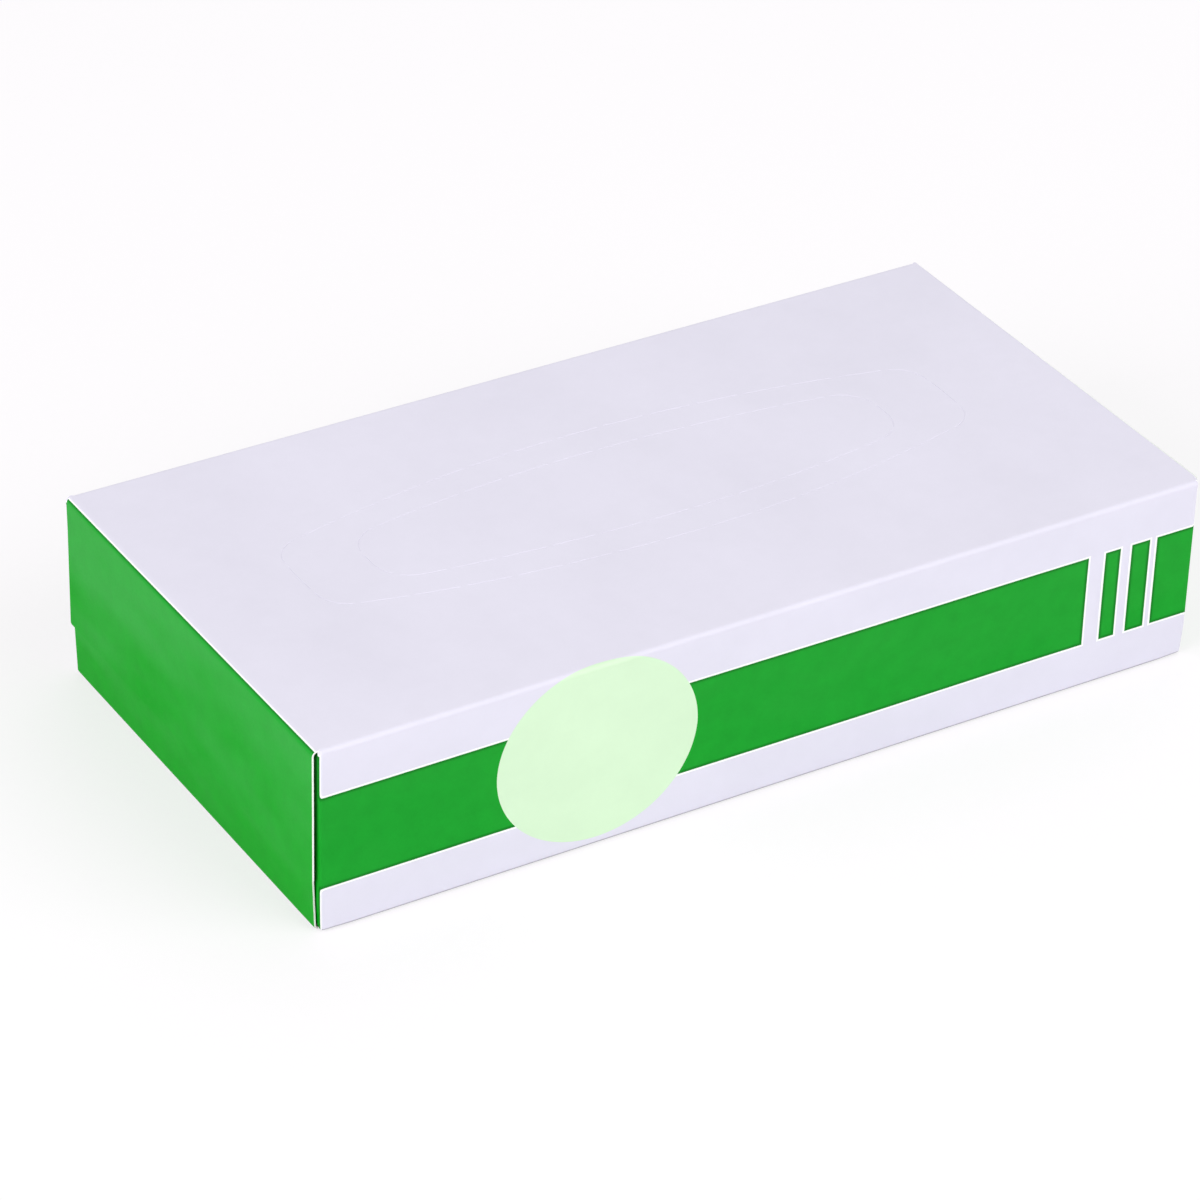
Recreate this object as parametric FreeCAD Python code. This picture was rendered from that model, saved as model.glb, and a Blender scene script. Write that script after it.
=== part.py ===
"""A flat tissue box as it leaves the packing line: folded board, ends glued shut, top not yet torn open.

Millimetres. +X runs along the box, +Y to its rear, +Z up. The origin is the centre of the base.
"""

import FreeCAD, Part
import os
from FreeCAD import Vector

# The closed box, measured over its outermost faces.
LENGTH = 236.0
DEPTH = 120.0
HEIGHT = 48.0

# Coated folding board, and how tightly it bends at a creased fold.
BOARD = 0.45
PANEL_BEND = 0.55

# End closure. Two dust flaps fold in first, the lower flap comes up over them, and the upper
# flap comes down last and is glued on the lower one.
UPPER_FLAP_LENGTH = 34.3
LOWER_FLAP_LENGTH = 20.4
DUST_FLAP_GAP = 0.5
FLAP_CORNER = 1.5
GLUE_SETBACK = 14.0

# How far the flaps' sides stay inside the front and rear panels. The upper flaps reach almost to the
# corners and the lower ones a little less far, but the right end's flaps are cut shorter on the
# front side and stay behind the front corner.
FLAP_SIDE_RELIEF = 0.8
RIGHT_FRONT_RELIEF = 2.6
LOWER_FLAP_STEP = 1.0

# Side seam of the blank: the rear panel ends in a cut edge over a tab from the base panel.
SEAM_EDGE_HEIGHT = 1.8

# Tear-out lines in the top: a wide outline, with a narrower one inside it. Their centre lies
# a little behind the middle of the panel.
TEAR_REARWARD = 3.5
OUTER_HALF_LENGTH = 86.5
OUTER_END_HALF_WIDTH = 13.6
OUTER_MID_HALF_WIDTH = 25.2
OUTER_CORNER = 8.5
INNER_HALF_LENGTH = 69.0
INNER_END_HALF_WIDTH = 10.2
INNER_MID_HALF_WIDTH = 16.4
INNER_CORNER = 9.5
TEAR_END_BOW = 0.8

# The lines are long knife cuts with short uncut nicks between them.
CUT_LENGTH = 11.0
NICK_LENGTH = 1.5
CUT_WIDTH = 0.35

# Planes of each end, counted from the middle of the box outwards.
UPPER_FLAP_FACE = LENGTH / 2
UPPER_FLAP_BACK = UPPER_FLAP_FACE - BOARD
LOWER_FLAP_BACK = UPPER_FLAP_BACK - BOARD
DUST_FLAP_FACE = LOWER_FLAP_BACK - DUST_FLAP_GAP

# Outer radii of the folds. The upper flap bends round the dust flaps that it covers.
PANEL_FOLD = PANEL_BEND + BOARD
UPPER_BEND = UPPER_FLAP_BACK - DUST_FLAP_FACE
UPPER_FOLD = UPPER_BEND + BOARD

UPPER_FLAP_FOOT = HEIGHT - UPPER_FLAP_LENGTH
GLUED_HALF_WIDTH = DEPTH / 2 - GLUE_SETBACK

# How far the closure's solids reach into the tube, and how far cutting solids run past it.
ROOT = 2 * PANEL_FOLD
CLEAR = 1.0


def corner_arc(centre_u, centre_v, radius, toward_u, toward_v, upright_first=False):
    """A quarter circle in (u, v), from beside its centre to above or below it, or the other way."""
    diagonal = radius * 0.5**0.5
    points = (
        (centre_u + toward_u * radius, centre_v),
        (centre_u + toward_u * diagonal, centre_v + toward_v * diagonal),
        (centre_u, centre_v + toward_v * radius),
    )
    return points[::-1] if upright_first else points


def outline_face(place, steps):
    """A face bounded by straight runs and arcs; a step is one corner point, or an arc's three points."""
    edges = []
    here = steps[-1][-1]
    for step in steps:
        if here != step[0]:
            edges.append(Part.makeLine(place(*here), place(*step[0])))
        if len(step) == 3:
            edges.append(Part.Arc(*[place(*point) for point in step]).toShape())
        here = step[-1]
    return Part.Face(Part.Wire(edges))


def in_yz(x):
    return lambda u, v: Vector(x, u, v)


def in_xz(y):
    return lambda u, v: Vector(u, y, v)


def in_xy(z):
    return lambda u, v: Vector(u, v, z)


def tube_section():
    """Front, top and rear panels as one rounded band; the rear panel stops in a cut edge at the seam."""
    front = -DEPTH / 2
    rear = DEPTH / 2
    tab = rear - BOARD
    fold = PANEL_FOLD
    return [
        corner_arc(front + fold, fold, fold, -1, -1, upright_first=True),
        corner_arc(front + fold, HEIGHT - fold, fold, -1, 1),
        corner_arc(rear - fold, HEIGHT - fold, fold, 1, 1, upright_first=True),
        ((rear, SEAM_EDGE_HEIGHT),),
        ((tab, SEAM_EDGE_HEIGHT),),
        corner_arc(tab - fold, fold, fold, 1, -1),
    ]


def filled_tube():
    """The four long panels with what they hold, its corners rounded where the dust flaps fold in."""
    along = outline_face(in_yz(-DUST_FLAP_FACE), tube_section())
    along = along.extrude(Vector(2 * DUST_FLAP_FACE, 0, 0))
    centre_x = DUST_FLAP_FACE - PANEL_FOLD
    centre_y = DEPTH / 2 - PANEL_FOLD
    plan = [
        corner_arc(sx * centre_x, sy * centre_y, PANEL_FOLD, sx, sy, upright_first=sx * sy < 0)
        for sx, sy in ((1, 1), (-1, 1), (-1, -1), (1, -1))
    ]
    upright = outline_face(in_xy(0), plan).extrude(Vector(0, 0, HEIGHT))
    return along.common(upright)


def closure_outline():
    """The end seen from the front: upper flap, the step at its foot, then the lower flap leaning in."""
    root = DUST_FLAP_FACE - ROOT
    hinge = DUST_FLAP_FACE + BOARD
    fold_z = HEIGHT - UPPER_FOLD
    return [
        ((root, HEIGHT),),
        corner_arc(UPPER_FLAP_FACE - UPPER_FOLD, fold_z, UPPER_FOLD, 1, 1, upright_first=True),
        ((UPPER_FLAP_FACE, UPPER_FLAP_FOOT),),
        ((UPPER_FLAP_BACK, UPPER_FLAP_FOOT),),
        corner_arc(hinge - PANEL_FOLD, PANEL_FOLD, PANEL_FOLD, 1, -1),
        ((root, 0),),
    ]


def gap_outline():
    """The room inside the closure at its sides, between the board of its flaps and the dust flap."""
    past_root = DUST_FLAP_FACE - ROOT - CLEAR
    fold_z = HEIGHT - UPPER_FOLD
    return [
        ((past_root, HEIGHT - BOARD),),
        corner_arc(UPPER_FLAP_BACK - UPPER_BEND, fold_z, UPPER_BEND, 1, 1, upright_first=True),
        ((UPPER_FLAP_BACK, LOWER_FLAP_LENGTH),),
        ((LOWER_FLAP_BACK, LOWER_FLAP_LENGTH),),
        ((LOWER_FLAP_BACK, UPPER_FLAP_FOOT),),
        corner_arc(DUST_FLAP_FACE - PANEL_BEND, PANEL_FOLD, PANEL_BEND, 1, -1),
        ((past_root, BOARD),),
    ]


def beside_lower_flap():
    """The room at the closure's sides that the lower flap leaves free, as it is the narrower one."""
    past_root = DUST_FLAP_FACE - ROOT - CLEAR
    past_face = UPPER_FLAP_FACE + CLEAR
    return [
        ((past_root, -CLEAR),),
        ((past_face, -CLEAR),),
        ((past_face, UPPER_FLAP_FOOT),),
        ((UPPER_FLAP_BACK, UPPER_FLAP_FOOT),),
        ((UPPER_FLAP_BACK, LOWER_FLAP_LENGTH),),
        ((past_root, LOWER_FLAP_LENGTH),),
    ]


def flap_corner_waste(side, half_width):
    """What the die takes off an upper flap's free corner, which is half_width from the middle."""
    edge = side * half_width
    centre_y = side * (half_width - FLAP_CORNER)
    centre_z = UPPER_FLAP_FOOT + FLAP_CORNER
    corner = outline_face(
        in_yz(UPPER_FLAP_BACK),
        [
            corner_arc(centre_y, centre_z, FLAP_CORNER, side, -1),
            ((centre_y, UPPER_FLAP_FOOT - CLEAR),),
            ((edge + side * CLEAR, UPPER_FLAP_FOOT - CLEAR),),
            ((edge + side * CLEAR, centre_z),),
        ],
    )
    return corner.extrude(Vector(BOARD + CLEAR, 0, 0))


def end_closure(front_relief):
    """The glued flaps of the +X end: solid where they are glued, open where their sides stand free."""
    front_reach = DEPTH / 2 - front_relief
    rear_reach = DEPTH / 2 - FLAP_SIDE_RELIEF
    closure = outline_face(in_xz(-front_reach), closure_outline())
    closure = closure.extrude(Vector(0, front_reach + rear_reach, 0))
    for side, half_width in ((1, rear_reach), (-1, front_reach)):
        gap = outline_face(in_xz(side * GLUED_HALF_WIDTH), gap_outline())
        gap = gap.extrude(Vector(0, side * (half_width - GLUED_HALF_WIDTH + CLEAR), 0))
        step = outline_face(in_xz(side * (half_width - LOWER_FLAP_STEP)), beside_lower_flap())
        step = step.extrude(Vector(0, side * (LOWER_FLAP_STEP + CLEAR), 0))
        closure = closure.cut([gap, step, flap_corner_waste(side, half_width)])
    return closure


def tear_plug(half_length, end_half_width, mid_half_width, corner, grow):
    """The torn-out shape grown by a margin: bowed long sides, blunt ends and rounded corners."""
    x = half_length + grow
    y = end_half_width + grow
    bow_x = x + TEAR_END_BOW
    bow_y = mid_half_width + grow
    face = outline_face(
        in_xy(HEIGHT - BOARD),
        [
            ((-x, y), (0, bow_y), (x, y)),
            ((x, y), (bow_x, 0), (x, -y)),
            ((x, -y), (0, -bow_y), (-x, -y)),
            ((-x, -y), (-bow_x, 0), (-x, y)),
        ],
    )
    plug = face.extrude(Vector(0, 0, BOARD + CLEAR))
    upright = [edge for edge in plug.Edges if abs(edge.tangentAt(edge.FirstParameter).z) > 0.9]
    return plug.makeFillet(corner + grow, upright)


def nick_posts(plug):
    """Upright blocks spaced round an outline, where the knife leaves the board whole."""
    rim = max(plug.Faces, key=lambda face: face.CenterOfMass.z).OuterWire
    count = round(rim.Length / (CUT_LENGTH + NICK_LENGTH))
    width = 4 * CUT_WIDTH
    tall = BOARD + 2 * CLEAR
    points = rim.discretize(Number=2 * count + 1)
    posts = []
    for at, ahead in zip(points[0::2], points[1::2]):
        post = Part.makeBox(NICK_LENGTH, width, tall, Vector(-NICK_LENGTH / 2, -width / 2, -CLEAR))
        turn = FreeCAD.Rotation(Vector(1, 0, 0), ahead - at)
        post.Placement = FreeCAD.Placement(at - Vector(0, 0, at.z - (HEIGHT - BOARD)), turn)
        posts.append(post)
    return posts


def tear_line(half_length, end_half_width, mid_half_width, corner):
    """One dashed line as the solid of its knife cuts, as deep as the board."""
    sizes = (half_length, end_half_width, mid_half_width, corner)
    kerf = tear_plug(*sizes, CUT_WIDTH / 2).cut(tear_plug(*sizes, -CUT_WIDTH / 2))
    kerf = kerf.cut(nick_posts(tear_plug(*sizes, 0)))
    kerf.translate(Vector(0, TEAR_REARWARD, 0))
    return kerf


def carton():
    """The whole box as one folded and glued piece."""
    right_end = end_closure(RIGHT_FRONT_RELIEF)
    left_end = end_closure(FLAP_SIDE_RELIEF).mirror(Vector(0, 0, 0), Vector(1, 0, 0))
    box = filled_tube().fuse([left_end, right_end]).removeSplitter()
    outer = tear_line(OUTER_HALF_LENGTH, OUTER_END_HALF_WIDTH, OUTER_MID_HALF_WIDTH, OUTER_CORNER)
    inner = tear_line(INNER_HALF_LENGTH, INNER_END_HALF_WIDTH, INNER_MID_HALF_WIDTH, INNER_CORNER)
    (solid,) = box.cut([outer, inner]).Solids
    return solid


os.makedirs("parts", exist_ok=True)
box = carton()
box.exportStep("parts/carton.step")
print("carton valid:", box.isValid(), "faces:", len(box.Faces), "mm3:", round(box.Volume))
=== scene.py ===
import math

import bmesh
import bpy
from mathutils import Matrix, Vector


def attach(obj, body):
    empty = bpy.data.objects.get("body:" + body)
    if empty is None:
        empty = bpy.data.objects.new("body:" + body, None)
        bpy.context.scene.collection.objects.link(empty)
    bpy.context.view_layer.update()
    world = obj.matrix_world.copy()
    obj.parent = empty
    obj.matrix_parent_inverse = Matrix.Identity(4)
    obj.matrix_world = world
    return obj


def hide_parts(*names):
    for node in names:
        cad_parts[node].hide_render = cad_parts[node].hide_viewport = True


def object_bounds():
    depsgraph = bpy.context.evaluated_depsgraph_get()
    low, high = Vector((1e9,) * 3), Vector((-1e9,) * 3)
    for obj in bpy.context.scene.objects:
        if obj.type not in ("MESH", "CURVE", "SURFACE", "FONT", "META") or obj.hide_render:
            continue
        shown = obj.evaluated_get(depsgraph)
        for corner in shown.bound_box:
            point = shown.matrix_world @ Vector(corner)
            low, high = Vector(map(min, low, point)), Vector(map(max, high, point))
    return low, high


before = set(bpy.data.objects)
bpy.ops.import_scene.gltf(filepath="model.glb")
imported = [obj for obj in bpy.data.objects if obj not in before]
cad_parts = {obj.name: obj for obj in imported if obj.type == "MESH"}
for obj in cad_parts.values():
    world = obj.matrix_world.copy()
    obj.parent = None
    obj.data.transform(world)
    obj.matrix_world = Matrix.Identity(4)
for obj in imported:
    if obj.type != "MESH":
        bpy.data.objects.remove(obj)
cad_low, cad_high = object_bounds()


# Camera: a long studio lens above the left end of the printed front, with the slight roll that the
# photograph shows in the upright edges.
CAMERA_PLACE = Vector((-0.5516, -0.8679, 0.6733))
CAMERA_AIM = Vector((-0.0030, 0.0109, 0.0120))
CAMERA_ROLL = math.radians(1.79)
CAMERA_LENS_MM = 155.9
CAMERA_SENSOR_MM = 36.0
CAMERA_REACH = 100.0

camera_data = bpy.data.cameras.new("studio_camera")
camera_data.lens = CAMERA_LENS_MM
camera_data.sensor_width = CAMERA_SENSOR_MM
camera_data.clip_end = CAMERA_REACH
camera = bpy.data.objects.new("studio_camera", camera_data)
bpy.context.collection.objects.link(camera)
camera.matrix_world = (
    Matrix.Translation(CAMERA_PLACE)
    @ (CAMERA_AIM - CAMERA_PLACE).to_track_quat("-Z", "Y").to_matrix().to_4x4()
    @ Matrix.Rotation(CAMERA_ROLL, 4, "Z")
)
bpy.context.scene.camera = camera


# The carton: one die-cut blank of coated folding boxboard, creased and folded round the tissues.
# The rear panel is glued over a tab of the base, and each end is closed by two dust flaps, a lower
# flap over them and an upper flap glued on the lower one.
HALF_LENGTH = cad_high.x
HALF_DEPTH = cad_high.y
HEIGHT = cad_high.z
BOARD = 0.00045
PANEL_FOLD = 0.0010
UPPER_FOLD = 0.0014
GLUE_FILM = 0.00003

# Faces of the end closure, from the middle of the box outwards.
UPPER_FACE = HALF_LENGTH
LOWER_LAP_FACE = UPPER_FACE - BOARD - GLUE_FILM
DUST_FACE = HALF_LENGTH - UPPER_FOLD
LOWER_HINGE_FACE = DUST_FACE + BOARD
UPPER_FLAP_FOOT = 0.0137
LOWER_FLAP_TOP = 0.0204
FLAP_HALF_WIDTH = HALF_DEPTH - 0.0008
LOWER_FLAP_HALF_WIDTH = FLAP_HALF_WIDTH - 0.0010
RIGHT_FRONT_RELIEF = 0.0026
DUST_FLAP_LENGTH = 0.046
DUST_FLAP_TAPER = 0.93
DUST_FLAP_LEAN = math.radians(9)
SEAM_EDGE_HEIGHT = 0.0018
SEAM_TAB_HEIGHT = 0.014

# The panels are laid out in rows of about one cell, with a narrow row beside each fold.
CELL = 0.006
CREASE_ROW = 0.0006
UPRIGHT_SQUEEZE = 0.7
FOLD_STEPS = 8
SHARP_FROM = math.radians(14)
QUARTER = math.radians(90)
NEAR = 0.00005


def deselect_all():
    """Leave nothing selected, in object mode."""
    if bpy.context.object and bpy.context.object.mode != "OBJECT":
        bpy.ops.object.mode_set(mode="OBJECT")
    bpy.ops.object.select_all(action="DESELECT")


def pick_rim(obj, test):
    """Select the open edges of the mesh in edit mode whose middles pass a test."""
    bpy.ops.mesh.select_mode(type="EDGE")
    bpy.ops.mesh.select_all(action="DESELECT")
    mesh = bmesh.from_edit_mesh(obj.data)
    for edge in mesh.edges:
        middle = (edge.verts[0].co + edge.verts[1].co) / 2
        if edge.is_boundary and test(middle):
            edge.select_set(True)
    mesh.select_flush_mode()
    bmesh.update_edit_mesh(obj.data)


def pick_verts(obj, test):
    """Select the vertices of the mesh in edit mode whose places pass a test."""
    bpy.ops.mesh.select_mode(type="VERT")
    bpy.ops.mesh.select_all(action="DESELECT")
    mesh = bmesh.from_edit_mesh(obj.data)
    for vert in mesh.verts:
        if test(vert.co):
            vert.select_set(True)
    bmesh.update_edit_mesh(obj.data)


def merge_doubles():
    """Weld the vertices of the mesh in edit mode that lie on one another."""
    bpy.ops.mesh.select_all(action="SELECT")
    bpy.ops.mesh.remove_doubles(threshold=NEAR / 10)


def pull(move):
    """Pull the selected edges out into one row of new faces."""
    bpy.ops.mesh.extrude_region_move(TRANSFORM_OT_translate={"value": move})


def draw_out(direction, length):
    """Pull the selected edges out into a panel, with a narrow row at its start and at its end."""
    inner = length - 2 * CREASE_ROW
    count = max(1, round(inner / CELL))
    for row in [CREASE_ROW] + [inner / count] * count + [CREASE_ROW]:
        pull(Vector(direction) * row)


def fold(centre, axis, angle):
    """Turn the selected edges about a fold line, which leaves a rounded fold behind them."""
    # Spin counts its angle against the right-hand rule.
    bpy.ops.mesh.spin(steps=FOLD_STEPS, angle=-angle, center=centre, axis=axis)


# Half of the wrap is folded up, from the middle of the box to its +X end, rear panel first.
side_end = DUST_FACE - PANEL_FOLD
rear_height = HEIGHT - PANEL_FOLD - SEAM_EDGE_HEIGHT
deselect_all()
bpy.ops.mesh.primitive_grid_add(
    x_subdivisions=round(side_end / CELL),
    y_subdivisions=round(rear_height / CELL),
    size=1,
    rotation=(QUARTER, 0, math.pi),
    location=((side_end - CREASE_ROW) / 2, HALF_DEPTH, SEAM_EDGE_HEIGHT + rear_height / 2),
)
carton = bpy.context.object
carton.name = "folded_carton"
carton.scale = (side_end - CREASE_ROW, rear_height, 1)
bpy.ops.object.transform_apply(location=True, rotation=True, scale=True)
bpy.ops.object.mode_set(mode="EDIT")
pick_rim(carton, lambda p: abs(p.x - side_end + CREASE_ROW) < NEAR)
pull((CREASE_ROW, 0, 0))

# Over the top, down the front, back along the base, and up behind the rear panel as the glue tab.
flat_y = HALF_DEPTH - PANEL_FOLD
flat_z = HEIGHT - PANEL_FOLD
tab_face = HALF_DEPTH - BOARD - GLUE_FILM
pick_rim(carton, lambda p: abs(p.z - flat_z) < NEAR)
fold((0, flat_y, flat_z), (1, 0, 0), QUARTER)
draw_out((0, -1, 0), 2 * flat_y)
fold((0, -flat_y, flat_z), (1, 0, 0), QUARTER)
draw_out((0, 0, -1), flat_z - PANEL_FOLD)
fold((0, -flat_y, PANEL_FOLD), (1, 0, 0), QUARTER)
draw_out((0, 1, 0), flat_y + tab_face - PANEL_FOLD)
fold((0, tab_face - PANEL_FOLD, PANEL_FOLD), (1, 0, 0), QUARTER)
draw_out((0, 0, 1), SEAM_TAB_HEIGHT - PANEL_FOLD)

# The dust flaps turn in from the front and the rear panel, and taper towards their free edges. The
# ends of the long folds turn in with them, which closes the box's corners.
LEAN_IN = Vector((-math.sin(DUST_FLAP_LEAN), math.cos(DUST_FLAP_LEAN), 0))
for side, fold_low in ((-1, 0.0), (1, PANEL_FOLD)):
    pick_rim(
        carton,
        lambda p: abs(p.x - side_end) < NEAR and side * p.y > flat_y and p.z > fold_low,
    )
    fold((side_end, side * flat_y, 0), (0, 0, 1), -side * (QUARTER + DUST_FLAP_LEAN))
    merge_doubles()
    pick_rim(
        carton,
        lambda p: p.x > DUST_FACE - NEAR and side * p.y > 0 and PANEL_FOLD < p.z < flat_z,
    )
    draw_out((LEAN_IN.x, -side * LEAN_IN.y, 0), DUST_FLAP_LENGTH)
    bpy.ops.transform.resize(
        value=(1, 1, DUST_FLAP_TAPER), center_override=(DUST_FACE, 0, HEIGHT / 2)
    )

# The lower rear corner, under the edge of the rear panel, is closed by the fold of the glue tab.
tab_fold_y = tab_face - PANEL_FOLD
in_rear_corner = flat_y - CREASE_ROW / 2
pick_rim(
    carton,
    lambda p: p.x > side_end + NEAR
    and p.y > in_rear_corner
    and abs(p.z - SEAM_EDGE_HEIGHT) < NEAR,
)
pull((0, tab_face - HALF_DEPTH, PANEL_FOLD - SEAM_EDGE_HEIGHT))
fold((0, tab_fold_y, PANEL_FOLD), (1, 0, 0), -QUARTER)
merge_doubles()

# The upright folds are pressed sharper than the long ones.
upright_fold_start = DUST_FACE - UPRIGHT_SQUEEZE * PANEL_FOLD
pick_verts(carton, lambda p: p.x > side_end - NEAR and abs(p.y) > flat_y + NEAR / 5)
bpy.ops.transform.resize(value=(UPRIGHT_SQUEEZE, 1, 1), center_override=(DUST_FACE, 0, 0))

# The lower flap comes up over them, leaning out until it lies flat behind the upper flap.
strip_half_width = (flat_y + tab_fold_y) / 2
pick_rim(carton, lambda p: abs(p.x - side_end) < NEAR and abs(p.z) < NEAR and abs(p.y) < flat_y)
pull((LOWER_HINGE_FACE - PANEL_FOLD - side_end, strip_half_width - tab_fold_y, 0))
bpy.ops.transform.resize(
    value=(1, LOWER_FLAP_HALF_WIDTH / strip_half_width, 1), center_override=(0, 0, 0)
)
fold((LOWER_HINGE_FACE - PANEL_FOLD, 0, PANEL_FOLD), (0, 1, 0), -QUARTER)
lean_height = UPPER_FLAP_FOOT - PANEL_FOLD
draw_out(
    Vector((LOWER_LAP_FACE - LOWER_HINGE_FACE, 0, lean_height)).normalized(),
    math.hypot(LOWER_LAP_FACE - LOWER_HINGE_FACE, lean_height),
)
pull((0, 0, LOWER_FLAP_TOP - UPPER_FLAP_FOOT))

# The upper flap comes down last, with its free corners rounded by the die.
pick_rim(
    carton,
    lambda p: abs(p.x - side_end) < NEAR and abs(p.z - HEIGHT) < NEAR and abs(p.y) < flat_y,
)
pull((DUST_FACE - side_end, 0, 0))
bpy.ops.transform.resize(value=(1, FLAP_HALF_WIDTH / flat_y, 1), center_override=(0, 0, 0))
fold((DUST_FACE, 0, HEIGHT - UPPER_FOLD), (0, 1, 0), QUARTER)
draw_out((0, 0, -1), HEIGHT - UPPER_FOLD - UPPER_FLAP_FOOT)
pick_verts(
    carton,
    lambda p: abs(p.x - UPPER_FACE) < NEAR
    and abs(p.z - UPPER_FLAP_FOOT) < NEAR
    and abs(abs(p.y) - FLAP_HALF_WIDTH) < NEAR,
)
bpy.ops.mesh.bevel(offset=CREASE_ROW, segments=3, affect="VERTICES")

# At its rear edge the flap widens towards the crease, to nearly the full depth of the box.
REAR_EAR = ((UPPER_FOLD, 0.0003), (UPPER_FOLD + CREASE_ROW, 0.0002))
for below_top, shift in REAR_EAR:
    pick_verts(
        carton,
        lambda p: p.y > FLAP_HALF_WIDTH - NEAR
        and p.z > HEIGHT - below_top - NEAR
        and (p.x > DUST_FACE + NEAR or (p.x > DUST_FACE - NEAR and p.z > HEIGHT - NEAR)),
    )
    bpy.ops.transform.translate(value=(0, shift, 0))


def put(tree, kind, inputs, out=0, **settings):
    """Add a shader node with its settings, values and links, and give back one of its outputs."""
    added = tree.nodes.new(kind)
    for name, value in settings.items():
        setattr(added, name, value)
    for key, value in inputs.items():
        if isinstance(value, bpy.types.NodeSocket):
            tree.links.new(value, added.inputs[key])
        else:
            added.inputs[key].default_value = value
    return added.outputs[out]


def srgb(code):
    """A colour written as sRGB hex, as linear RGBA."""
    channels = [int(code[i : i + 2], 16) / 255 for i in (0, 2, 4)]
    return [c / 12.92 if c <= 0.04045 else ((c + 0.055) / 1.055) ** 2.4 for c in channels] + [1.0]


def blank_material(name):
    """A new material with one shader that reaches its output, and that shader."""
    material = bpy.data.materials.new(name)
    material.use_nodes = True
    shader = material.node_tree.nodes["Principled BSDF"]
    return material, material.node_tree, shader


def seen_straight(tree):
    """One for a ray from the camera or from a shiny or clear surface, and nought for others."""
    straight = 0.0
    for kind in ("Is Camera Ray", "Is Glossy Ray", "Is Transmission Ray"):
        ray = put(tree, "ShaderNodeLightPath", {}, out=kind)
        straight = put(tree, "ShaderNodeMath", {0: straight, 1: ray}, operation="MAXIMUM")
    return straight


# Print, in millimetres on the panel, measured from the middle of the box and from the base: a green
# band along the front and rear, cut through on the front by pale stripes, and a pale oval on it. A
# thin white line and a darker rim of ink go with each edge of the green.
BAND_MM = (11.9, 35.8)
FIELDS_MM = ((-130.0, 86.2), (91.0, 95.3), (98.5, 103.7), (105.7, 130.0))
FIELD_CORNER_MM = 1.6
OVAL_CENTRE_MM = (-46.3, 25.7)
OVAL_HALF_MM = (26.0, 23.5)
KEYLINE_MM = 0.5
INK_RIM_MM = (0.4, 0.95)
INK_RIM_SHADE = 0.62
PRINT_SKEW = 0.0042
SKEW_START_MM = 0.25
# Painted shade along the bottom folds: the height over which it fades, and how dark it gets.
PAINTED_BOTTOM_SHADE_MM = (0.5, 1.0)
PAINTED_BOTTOM_SHADE = 0.42
FAR_MM = 400.0

# How densely each pattern lies, per millimetre, how the veil of varnish slants and grows with height,
# together with the sheen painted into the ends' green, and the span that the values of a pattern
# fill.
CLOUDS_PER_MM = 0.22
SPECKLES_PER_MM = 1.6
VEILS_PER_MM = 0.03
VEIL_SLANT = {"Rotation": (0.6, 0.0, 0.0), "Scale": (1.0, 0.6, 1.8)}
VEIL_AND_PAINTED_SHEEN_HEIGHT_MM = {"From Min": 5.0, "From Max": 45.0}
VEIL_AND_PAINTED_SHEEN_RISE = 0.26
SHEEN = {"To Min": 0.035, "To Max": 0.08}
FIBRES_PER_MM = 1.4
FIBRE_HEIGHT = 0.00002
SPAN = {"From Min": 0.3, "From Max": 0.7}

BOARD_TINT = "DFDCEA"
KEYLINE_WHITE = "F8F8F8"
BAND_GREEN = "1C9B2D"
END_GREEN = "009B18"
PAINTED_SHEEN_GREEN = "1EA030"
OVAL_GREEN = "D4EECD"

MATH = "ShaderNodeMath"
VECTOR = "ShaderNodeVectorMath"
COORDINATES = "ShaderNodeTexCoord"
MIX = "ShaderNodeMix"
NOISE = "ShaderNodeTexNoise"
RANGE = "ShaderNodeMapRange"

# Clay-coated folding boxboard, offset printed and varnished: smooth and satin, with the faint
# mottle of ink on a coated sheet and the fibres of the board just showing through the coat.
printed, tree, shader = blank_material("varnished_print_on_coated_board")
place = put(tree, COORDINATES, {}, out="Object")
in_mm = put(tree, VECTOR, {0: place, 3: 1000.0}, operation="SCALE")
unsigned = put(tree, VECTOR, {0: in_mm}, operation="ABSOLUTE")
x_mm, y_mm, z_mm = [put(tree, "ShaderNodeSeparateXYZ", {0: in_mm}, out=i) for i in range(3)]
abs_x, abs_y = [put(tree, "ShaderNodeSeparateXYZ", {0: unsigned}, out=i) for i in range(2)]
on_front = put(tree, MATH, {0: y_mm, 1: 0.0}, operation="LESS_THAN")
on_rear = put(tree, MATH, {0: 1.0, 1: on_front}, operation="SUBTRACT")

# Distance outside the band, and outside the fields between its stripes. The rear has no stripes.
off_band = put(tree, MATH, {0: z_mm, 1: sum(BAND_MM) / 2}, operation="SUBTRACT")
off_band = put(tree, MATH, {0: off_band}, operation="ABSOLUTE")
off_band = put(tree, MATH, {0: off_band, 1: (BAND_MM[1] - BAND_MM[0]) / 2}, operation="SUBTRACT")
off_fields = FAR_MM
for left, right in FIELDS_MM:
    off_field = put(tree, MATH, {0: x_mm, 1: (left + right) / 2}, operation="SUBTRACT")
    off_field = put(tree, MATH, {0: off_field}, operation="ABSOLUTE")
    off_field = put(tree, MATH, {0: off_field, 1: (right - left) / 2}, operation="SUBTRACT")
    off_fields = put(tree, MATH, {0: off_fields, 1: off_field}, operation="MINIMUM")
off_fields = put(tree, MATH, {0: on_rear, 1: -FAR_MM, 2: off_fields}, operation="MULTIPLY_ADD")
off_ink = put(tree, MATH, {0: off_band, 1: off_fields}, operation="MAXIMUM")

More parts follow.
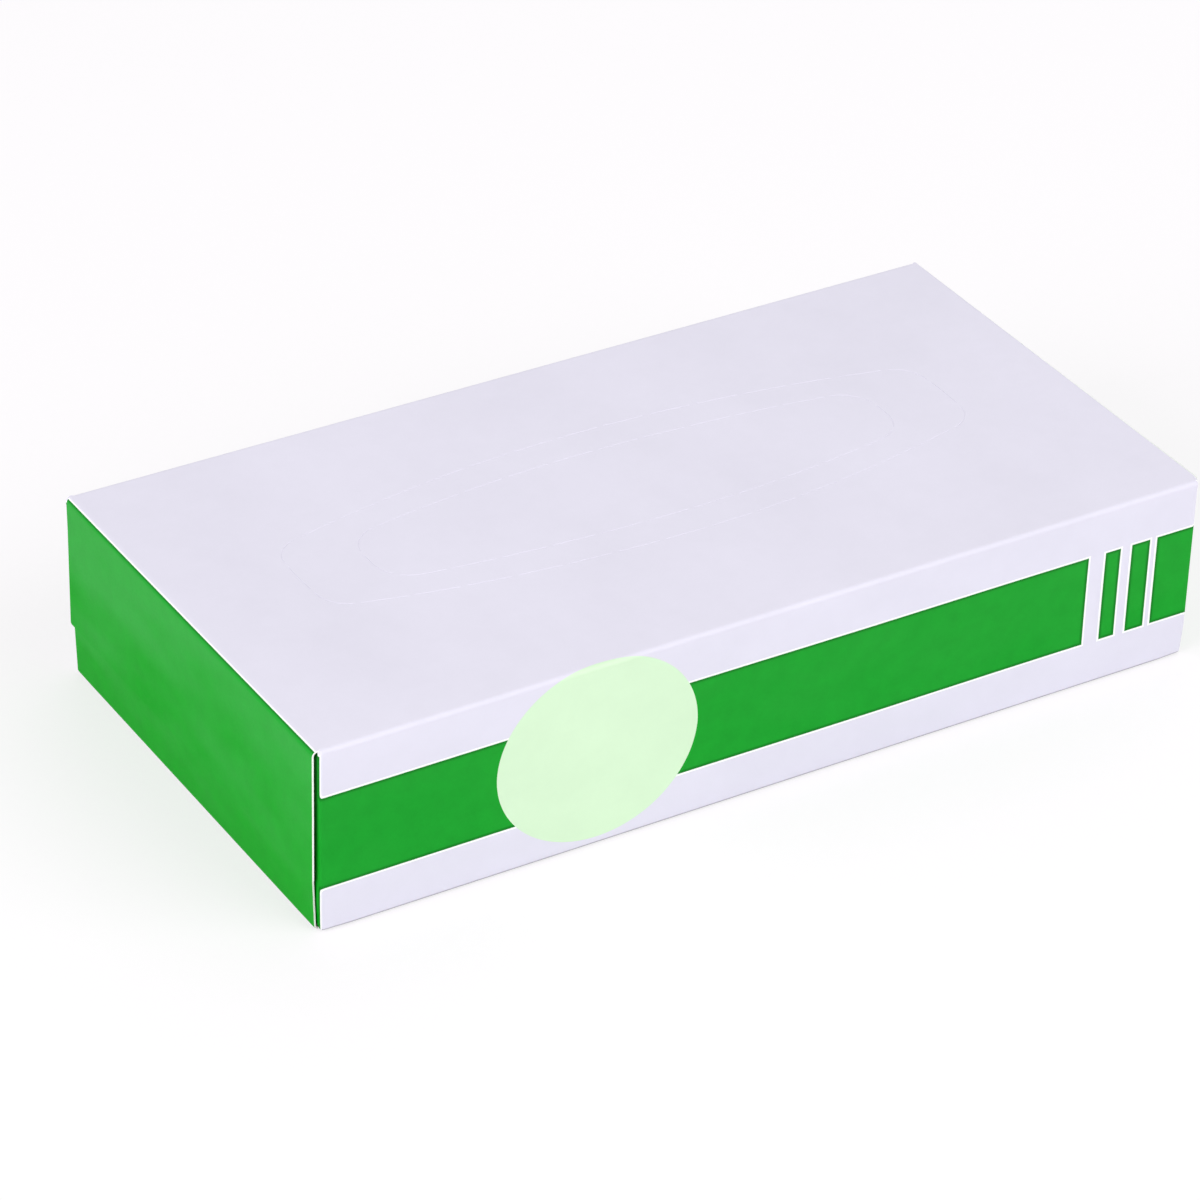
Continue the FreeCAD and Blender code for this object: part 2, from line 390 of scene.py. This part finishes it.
# The ends are green all over, from the middle of each fold that leads to them. Beside the flaps the
# ends of the long folds belong to the front and rear panels.
side_in = put(tree, MATH, {0: abs_x, 1: 1000 * upright_fold_start}, operation="SUBTRACT")
side_in = put(tree, MATH, {0: side_in, 1: UPRIGHT_SQUEEZE}, operation="DIVIDE")
side_out = put(tree, MATH, {0: abs_y, 1: 1000 * flat_y}, operation="SUBTRACT")
past_side = put(tree, MATH, {0: side_in, 1: side_out}, operation="SUBTRACT")
under_fold = put(tree, MATH, {0: 1000 * (HEIGHT - UPPER_FOLD), 1: z_mm}, operation="SUBTRACT")
top_in = put(tree, MATH, {0: abs_x, 1: 1000 * DUST_FACE}, operation="SUBTRACT")
past_top = put(tree, MATH, {0: top_in, 1: under_fold}, operation="ADD")
print_skew = put(tree, MATH, {0: y_mm, 1: -PRINT_SKEW, 2: SKEW_START_MM}, operation="MULTIPLY_ADD")
past_top = put(tree, MATH, {0: past_top, 1: print_skew}, operation="ADD")
base_fold_mm = 1000 * (LOWER_HINGE_FACE - PANEL_FOLD)
base_in = put(tree, MATH, {0: abs_x, 1: base_fold_mm}, operation="SUBTRACT")
base_out = put(tree, MATH, {0: 1000 * PANEL_FOLD, 1: z_mm}, operation="SUBTRACT")
past_base = put(tree, MATH, {0: base_in, 1: base_out}, operation="SUBTRACT")
on_upper = put(tree, MATH, {0: abs_y, 1: 1000 * FLAP_HALF_WIDTH}, operation="LESS_THAN")
off_corner = put(tree, MATH, {0: on_upper, 1: FAR_MM, 2: under_fold}, operation="MULTIPLY_ADD")
past_side = put(tree, MATH, {0: past_side, 1: off_corner}, operation="MINIMUM")
beside_upper = put(tree, MATH, {0: 1.0, 1: on_upper}, operation="SUBTRACT")
past_top = put(tree, MATH, {0: beside_upper, 1: FAR_MM, 2: past_top}, operation="MULTIPLY_ADD")
lower_edge_mm = 1000 * LOWER_FLAP_HALF_WIDTH
beside_lower = put(tree, MATH, {0: abs_y, 1: lower_edge_mm}, operation="GREATER_THAN")
past_base = put(tree, MATH, {0: beside_lower, 1: FAR_MM, 2: past_base}, operation="MULTIPLY_ADD")
into_end = put(tree, MATH, {0: past_side, 1: past_top}, operation="MINIMUM")
into_end = put(tree, MATH, {0: into_end, 1: past_base}, operation="MINIMUM")
off_end = put(tree, MATH, {0: into_end, 1: -1.0}, operation="MULTIPLY")
off_green = put(tree, MATH, {0: off_ink, 1: off_end, 2: FIELD_CORNER_MM}, operation="SMOOTH_MIN")

# The oval runs a little way over the top fold, so it is measured along the sheet.
over_top = put(tree, MATH, {0: y_mm, 1: 1000 * HALF_DEPTH}, operation="ADD")
over_top = put(tree, MATH, {0: over_top, 1: 0.0}, operation="MAXIMUM")
upper_half = put(tree, MATH, {0: z_mm, 1: 500 * HEIGHT}, operation="GREATER_THAN")
up_sheet = put(tree, MATH, {0: over_top, 1: upper_half, 2: z_mm}, operation="MULTIPLY_ADD")
on_sheet = put(tree, "ShaderNodeCombineXYZ", {0: x_mm, 1: up_sheet})
from_centre = put(tree, VECTOR, {0: on_sheet, 1: (*OVAL_CENTRE_MM, 0)}, operation="SUBTRACT")
from_centre = put(tree, VECTOR, {0: from_centre, 1: (*OVAL_HALF_MM, 1)}, operation="DIVIDE")
oval_reach = put(tree, VECTOR, {0: from_centre}, out=1, operation="LENGTH")
in_oval = put(tree, MATH, {0: oval_reach, 1: 1.0}, operation="LESS_THAN")
in_oval = put(tree, MATH, {0: in_oval, 1: on_front}, operation="MULTIPLY")

# Ink lies a little unevenly: soft clouds a few millimetres across, and a finer speckle. The varnish
# lies in broad slanting clouds, strongest towards the top, where it shines more. On the ends, the
# same clouds and the rise towards the top paint the green paler: a painted sheen.
clouds = put(
    tree, NOISE, {"Vector": in_mm, "Scale": CLOUDS_PER_MM, "Detail": 3.0, "Roughness": 0.55}
)
speckle = put(
    tree, NOISE, {"Vector": in_mm, "Scale": SPECKLES_PER_MM, "Detail": 4.0, "Roughness": 0.65}
)
mottle = put(tree, MIX, {0: 0.4, 2: clouds, 3: speckle})
green_shade = put(tree, RANGE, {"Value": mottle, **SPAN, "To Min": 0.93, "To Max": 1.07})
pale_shade = put(tree, RANGE, {"Value": mottle, **SPAN, "To Min": 0.988, "To Max": 1.012})
slanted = put(tree, "ShaderNodeMapping", {"Vector": in_mm, **VEIL_SLANT})
broad = put(
    tree, NOISE, {"Vector": slanted, "Scale": VEILS_PER_MM, "Detail": 2.0, "Roughness": 0.6}
)
rise_of_veil_and_painted_sheen = put(
    tree, RANGE, {"Value": z_mm, **VEIL_AND_PAINTED_SHEEN_HEIGHT_MM, "To Min": -VEIL_AND_PAINTED_SHEEN_RISE, "To Max": VEIL_AND_PAINTED_SHEEN_RISE}
)
veil_and_painted_sheen = put(tree, MATH, {0: broad, 1: rise_of_veil_and_painted_sheen}, operation="ADD")
veil_and_painted_sheen = put(tree, RANGE, {"Value": veil_and_painted_sheen, **SPAN})
on_end = put(tree, MATH, {0: into_end, 1: 0.0}, operation="GREATER_THAN")
rim_shade = put(
    tree,
    RANGE,
    {
        "Value": off_green,
        "From Min": -INK_RIM_MM[1],
        "From Max": -INK_RIM_MM[0],
        "To Min": 1.0,
        "To Max": INK_RIM_SHADE,
    },
    interpolation_type="SMOOTHSTEP",
)
green_shade = put(tree, MATH, {0: green_shade, 1: rim_shade}, operation="MULTIPLY")
# Painted sheen: on the ends the green is painted paler towards the top and in the broad clouds.
green = put(
    tree, MIX, {0: veil_and_painted_sheen, 6: srgb(END_GREEN), 7: srgb(PAINTED_SHEEN_GREEN)}, out=2, data_type="RGBA"
)
green = put(tree, MIX, {0: on_end, 6: srgb(BAND_GREEN), 7: green}, out=2, data_type="RGBA")
green = put(tree, VECTOR, {0: green, 3: green_shade}, operation="SCALE")
broad_shade = put(tree, RANGE, {"Value": broad, **SPAN, "To Min": 0.982, "To Max": 1.018})
pale_shade = put(tree, MATH, {0: pale_shade, 1: broad_shade}, operation="MULTIPLY")

# The bottom folds are painted darker grey close to the floor: a painted shade where they turn under.
off_painted_bottom_shade = put(tree, MATH, {0: side_out, 1: -1.0}, operation="MULTIPLY")
off_painted_bottom_shade = put(tree, MATH, {0: off_painted_bottom_shade, 1: z_mm}, operation="MAXIMUM")
painted_bottom_shade = put(
    tree,
    RANGE,
    {"Value": off_painted_bottom_shade, "From Min": PAINTED_BOTTOM_SHADE_MM[0], "From Max": PAINTED_BOTTOM_SHADE_MM[1], "To Min": PAINTED_BOTTOM_SHADE},
)
tint_shade = put(tree, MATH, {0: pale_shade, 1: painted_bottom_shade}, operation="MULTIPLY")
tint = put(tree, VECTOR, {0: srgb(BOARD_TINT)[:3], 3: tint_shade}, operation="SCALE")
oval = put(tree, VECTOR, {0: srgb(OVAL_GREEN)[:3], 3: pale_shade}, operation="SCALE")
keyline = put(tree, MATH, {0: off_green, 1: KEYLINE_MM}, operation="LESS_THAN")
ink = put(tree, MATH, {0: off_green, 1: 0.0}, operation="LESS_THAN")
lined = put(tree, MIX, {0: keyline, 6: tint, 7: srgb(KEYLINE_WHITE)}, out=2, data_type="RGBA")
inked = put(tree, MIX, {0: ink, 6: lined, 7: green}, out=2, data_type="RGBA")
colour = put(tree, MIX, {0: in_oval, 6: inked, 7: oval}, out=2, data_type="RGBA")
tree.links.new(colour, shader.inputs["Base Color"])

# Fibres about 0.7 mm long, drawn coarser than they are so that they show at this distance.
fibres = put(
    tree, NOISE, {"Vector": in_mm, "Scale": FIBRES_PER_MM, "Detail": 5.0, "Roughness": 0.7}
)
roughness = put(tree, RANGE, {"Value": fibres, **SPAN, "To Min": 0.36, "To Max": 0.44})
tree.links.new(roughness, shader.inputs["Roughness"])
bump = put(tree, "ShaderNodeBump", {"Strength": 0.12, "Distance": FIBRE_HEIGHT, "Height": fibres})
tree.links.new(bump, shader.inputs["Normal"])
sheen = put(tree, RANGE, {"Value": veil_and_painted_sheen, **SHEEN})
tree.links.new(sheen, shader.inputs["Specular IOR Level"])

# The uncoated inner side of the board: matt, greyish white wood pulp.
PULP_PER_METRE = 900.0
inner, tree, shader = blank_material("uncoated_board_back")
place = put(tree, COORDINATES, {}, out="Object")
pulp = put(tree, NOISE, {"Vector": place, "Scale": PULP_PER_METRE, "Detail": 4.0})
shade = put(tree, MIX, {0: pulp, 6: srgb("C9C6C0"), 7: srgb("DCDAD4")}, out=2, data_type="RGBA")
tree.links.new(shade, shader.inputs["Base Color"])
shader.inputs["Roughness"].default_value = 0.85

# The die-cut edge of the board: raw white pulp in thin layers between the two coats.
LAYERS_PER_METRE = 2500.0
raw_edge, tree, shader = blank_material("cut_edge_of_white_board")
place = put(tree, COORDINATES, {}, out="Object")
layers = put(tree, NOISE, {"Vector": place, "Scale": LAYERS_PER_METRE, "Detail": 3.0})
shade = put(tree, MIX, {0: layers, 6: srgb("ECEBE6"), 7: srgb("FBFBF8")}, out=2, data_type="RGBA")
tree.links.new(shade, shader.inputs["Base Color"])
shader.inputs["Roughness"].default_value = 0.8

for material in (printed, inner, raw_edge):
    carton.data.materials.append(material)

# Standing on them has blunted the bottom corners.
CORNER_PRESS = (-0.0004, 0.0002, 0.0001)
CORNER_REACH = 0.003
for side in (-1, 1):
    pick_verts(
        carton,
        lambda p: p.x > side_end and side * p.y > flat_y and p.z < PANEL_FOLD + NEAR,
    )
    bpy.ops.transform.translate(
        value=(CORNER_PRESS[0], -side * CORNER_PRESS[1], CORNER_PRESS[2]),
        use_proportional_edit=True,
        use_proportional_connected=True,
        proportional_edit_falloff="SMOOTH",
        proportional_size=CORNER_REACH,
    )

# The other half is its mirror image.
bpy.ops.object.mode_set(mode="OBJECT")
mirror = carton.modifiers.new("other_half", "MIRROR")
mirror.use_axis[0] = True
mirror.merge_threshold = NEAR
bpy.ops.object.modifier_apply(modifier=mirror.name)

# On the front side the right end's flaps are cut shorter, and stay behind the corner of the box.
# Then the sheet gets its thickness on the inside.
bpy.ops.object.mode_set(mode="EDIT")
bpy.ops.mesh.select_all(action="SELECT")
bpy.ops.mesh.normals_make_consistent(inside=False)
pick_verts(
    carton,
    lambda p: p.y < -FLAP_HALF_WIDTH + CELL / 2
    and (
        p.x > DUST_FACE + NEAR
        or (p.x > side_end + NEAR and p.z < PANEL_FOLD and p.y > -flat_y + NEAR)
    ),
)
bpy.ops.transform.translate(value=(0, RIGHT_FRONT_RELIEF - (HALF_DEPTH - FLAP_HALF_WIDTH), 0))
bpy.ops.object.mode_set(mode="OBJECT")
thickness = carton.modifiers.new("board_thickness", "SOLIDIFY")
thickness.thickness = BOARD
thickness.offset = -1
thickness.use_even_offset = True
thickness.material_offset = 1
thickness.material_offset_rim = 2
bpy.ops.object.modifier_apply(modifier=thickness.name)

# The tear-out lines are pressed into the top where the solid has its knife cuts: the floor of each
# cut is copied from there, narrowed downwards, and carves a shallow groove with sloping walls.
GROOVE_DEPTH = 0.00008
GROOVE_WALL = 0.00013
ABOVE = 0.00002
FACING_UP = 0.9
ONE_PLANE = math.radians(1)
cut_floor = HEIGHT - BOARD
deselect_all()
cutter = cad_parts["carton"].copy()
cutter.data = cutter.data.copy()
cutter.name = "tear_line_cutter"
bpy.context.collection.objects.link(cutter)
bpy.context.view_layer.objects.active = cutter
cutter.select_set(True)
bpy.ops.object.mode_set(mode="EDIT")
bpy.ops.mesh.select_mode(type="FACE")
merge_doubles()
bpy.ops.mesh.select_all(action="DESELECT")
sheet = bmesh.from_edit_mesh(cutter.data)
for face in sheet.faces:
    level = face.normal.z > FACING_UP
    at_floor = all(abs(vert.co.z - cut_floor) < NEAR for vert in face.verts)
    in_top = abs(face.calc_center_median().x) < side_end
    face.select_set(not (level and at_floor and in_top))
bmesh.update_edit_mesh(cutter.data)
bpy.ops.mesh.delete(type="FACE")
bpy.ops.mesh.select_all(action="SELECT")
bpy.ops.mesh.dissolve_limited(angle_limit=ONE_PLANE, use_dissolve_boundaries=False)
bpy.ops.mesh.select_all(action="SELECT")
bpy.ops.transform.translate(value=(0, 0, BOARD + ABOVE))
bpy.ops.mesh.inset(thickness=GROOVE_WALL, depth=-GROOVE_DEPTH - ABOVE, use_individual=True)
bpy.ops.mesh.select_all(action="SELECT")
bpy.ops.mesh.fill_holes(sides=0)
bpy.ops.mesh.select_all(action="SELECT")
bpy.ops.mesh.normals_make_consistent(inside=False)
bpy.ops.object.mode_set(mode="OBJECT")

deselect_all()
bpy.context.view_layer.objects.active = carton
carton.select_set(True)
carving = carton.modifiers.new("tear_lines", "BOOLEAN")
carving.operation = "DIFFERENCE"
carving.solver = "EXACT"
carving.object = cutter
bpy.ops.object.modifier_apply(modifier=carving.name)
bpy.data.objects.remove(cutter)

# The tissues hold the panels up unevenly: a cage of points sinks the top, the front and the rear a
# little between their folds, and the base carries the box on its middle, its edges just lifted.
TOP_SINK = 0.0004
SIDE_SINK = 0.0003
EDGE_LIFT = 0.00012
MIDDLE_LIFT = 0.000026
UNEVEN = (1.0, 0.5, 1.1, 0.7)
CAGE_POINTS = (6, 4, 4)
deselect_all()
bpy.ops.object.add(type="LATTICE", location=(0, 0, HEIGHT / 2))
cage = bpy.context.object
cage.scale = (2 * HALF_LENGTH, 2 * HALF_DEPTH, HEIGHT)
cage.data.points_u, cage.data.points_v, cage.data.points_w = CAGE_POINTS
for axis in ("u", "v", "w"):
    setattr(cage.data, "interpolation_type_" + axis, "KEY_CATMULL_ROM")
last_u, last_v, last_w = [count - 1 for count in CAGE_POINTS]
for index, point in enumerate(cage.data.points):
    u = index % CAGE_POINTS[0]
    v = index // CAGE_POINTS[0] % CAGE_POINTS[1]
    w = index // (CAGE_POINTS[0] * CAGE_POINTS[1])
    inside_u, inside_v, inside_w = 0 < u < last_u, 0 < v < last_v, 0 < w < last_w
    moved = point.co_deform.copy()
    if inside_u and inside_v and w == last_w:
        moved.z -= TOP_SINK * UNEVEN[u - 1] / HEIGHT
    if inside_u and inside_w and not inside_v:
        inwards = 1 if v == 0 else -1
        moved.y += inwards * SIDE_SINK * UNEVEN[last_u - 1 - u] / (2 * HALF_DEPTH)
    if w == 0:
        moved.z += (MIDDLE_LIFT if inside_u and inside_v else EDGE_LIFT) / HEIGHT
    point.co_deform = moved
deselect_all()
bpy.context.view_layer.objects.active = carton
carton.select_set(True)
bow = carton.modifiers.new("panel_bow", "LATTICE")
bow.object = cage
bpy.ops.object.modifier_apply(modifier=bow.name)
bpy.data.objects.remove(cage)

# Every fold is shaded round, and the cut edges stay sharp.
bpy.ops.object.shade_smooth()
bpy.ops.object.mode_set(mode="EDIT")
bpy.ops.mesh.select_mode(type="EDGE")
bpy.ops.mesh.select_all(action="DESELECT")
bpy.ops.mesh.edges_select_sharp(sharpness=SHARP_FROM)
bpy.ops.mesh.mark_sharp()
bpy.ops.object.mode_set(mode="OBJECT")

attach(carton, "root")
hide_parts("carton")


# Floor and backdrop: one wide sheet of matt white studio paper, which the camera sees close to
# white while it still takes the box's soft shadow.
FLOOR_HALF = 40.0
FLOOR_WHITE_SHARE = 0.66
FLOOR_SEEN = ("FDF7FD", "FFF9FF")
FLOOR_BOUNCE = "E2E2E4"
GRAIN_PER_METRE = 400.0
deselect_all()
bpy.ops.mesh.primitive_plane_add(size=2 * FLOOR_HALF)
floor = bpy.context.object
floor.name = "studio_floor"
paper, tree, shader = blank_material("matt_white_studio_paper")
place = put(tree, COORDINATES, {}, out="Object")
grain = put(tree, NOISE, {"Vector": place, "Scale": GRAIN_PER_METRE, "Detail": 2.0})
seen = seen_straight(tree)
pale, paler = [srgb(code) for code in FLOOR_SEEN]
shade = put(tree, MIX, {0: grain, 6: pale, 7: paler}, out=2, data_type="RGBA")
shade = put(tree, MIX, {0: seen, 6: srgb(FLOOR_BOUNCE), 7: shade}, out=2, data_type="RGBA")
tree.links.new(shade, shader.inputs["Base Color"])
shader.inputs["Roughness"].default_value = 0.9
shader.inputs["Specular IOR Level"].default_value = 0.1
share = put(tree, MATH, {0: seen, 1: FLOOR_WHITE_SHARE}, operation="MULTIPLY")
white = put(tree, "ShaderNodeEmission", {"Color": (1, 1, 1, 1), "Strength": 1.0})
surface = put(tree, "ShaderNodeMixShader", {0: share, 1: shader.outputs[0], 2: white})
tree.links.new(surface, tree.nodes["Material Output"].inputs["Surface"])
floor.data.materials.append(paper)


# Studio light: a wide softbox in front and to the right, a weak one behind, and one at the left
# end, in a plain room that looks white and gives half that light.
LAMPS = (
    ("front_softbox", (0.9, -1.5, 1.1), 1.8, 26.0),
    ("rear_softbox", (0.9, 1.1, 1.3), 1.4, 5.0),
    ("left_softbox", (-1.6, -0.3, 0.7), 1.2, 19.0),
)
LAMP_AIM = Vector((0, 0, 0.02))
ROOM_LEVEL = 0.5
for name, spot, width, power in LAMPS:
    lamp_data = bpy.data.lights.new(name, "AREA")
    lamp_data.shape = "SQUARE"
    lamp_data.size = width
    lamp_data.energy = power
    lamp = bpy.data.objects.new(name, lamp_data)
    bpy.context.collection.objects.link(lamp)
    lamp.matrix_world = (
        Matrix.Translation(Vector(spot))
        @ (LAMP_AIM - Vector(spot)).to_track_quat("-Z", "Y").to_matrix().to_4x4()
    )
room = bpy.data.worlds.new("white_room")
room.use_nodes = True
tree = room.node_tree
walls = tree.nodes["Background"]
walls.inputs["Color"].default_value = (1, 1, 1, 1)
level = put(tree, MIX, {0: seen_straight(tree), 2: ROOM_LEVEL, 3: 1.0})
tree.links.new(level, walls.inputs["Strength"])
bpy.context.scene.world = room
bpy.context.scene.view_settings.view_transform = "Standard"
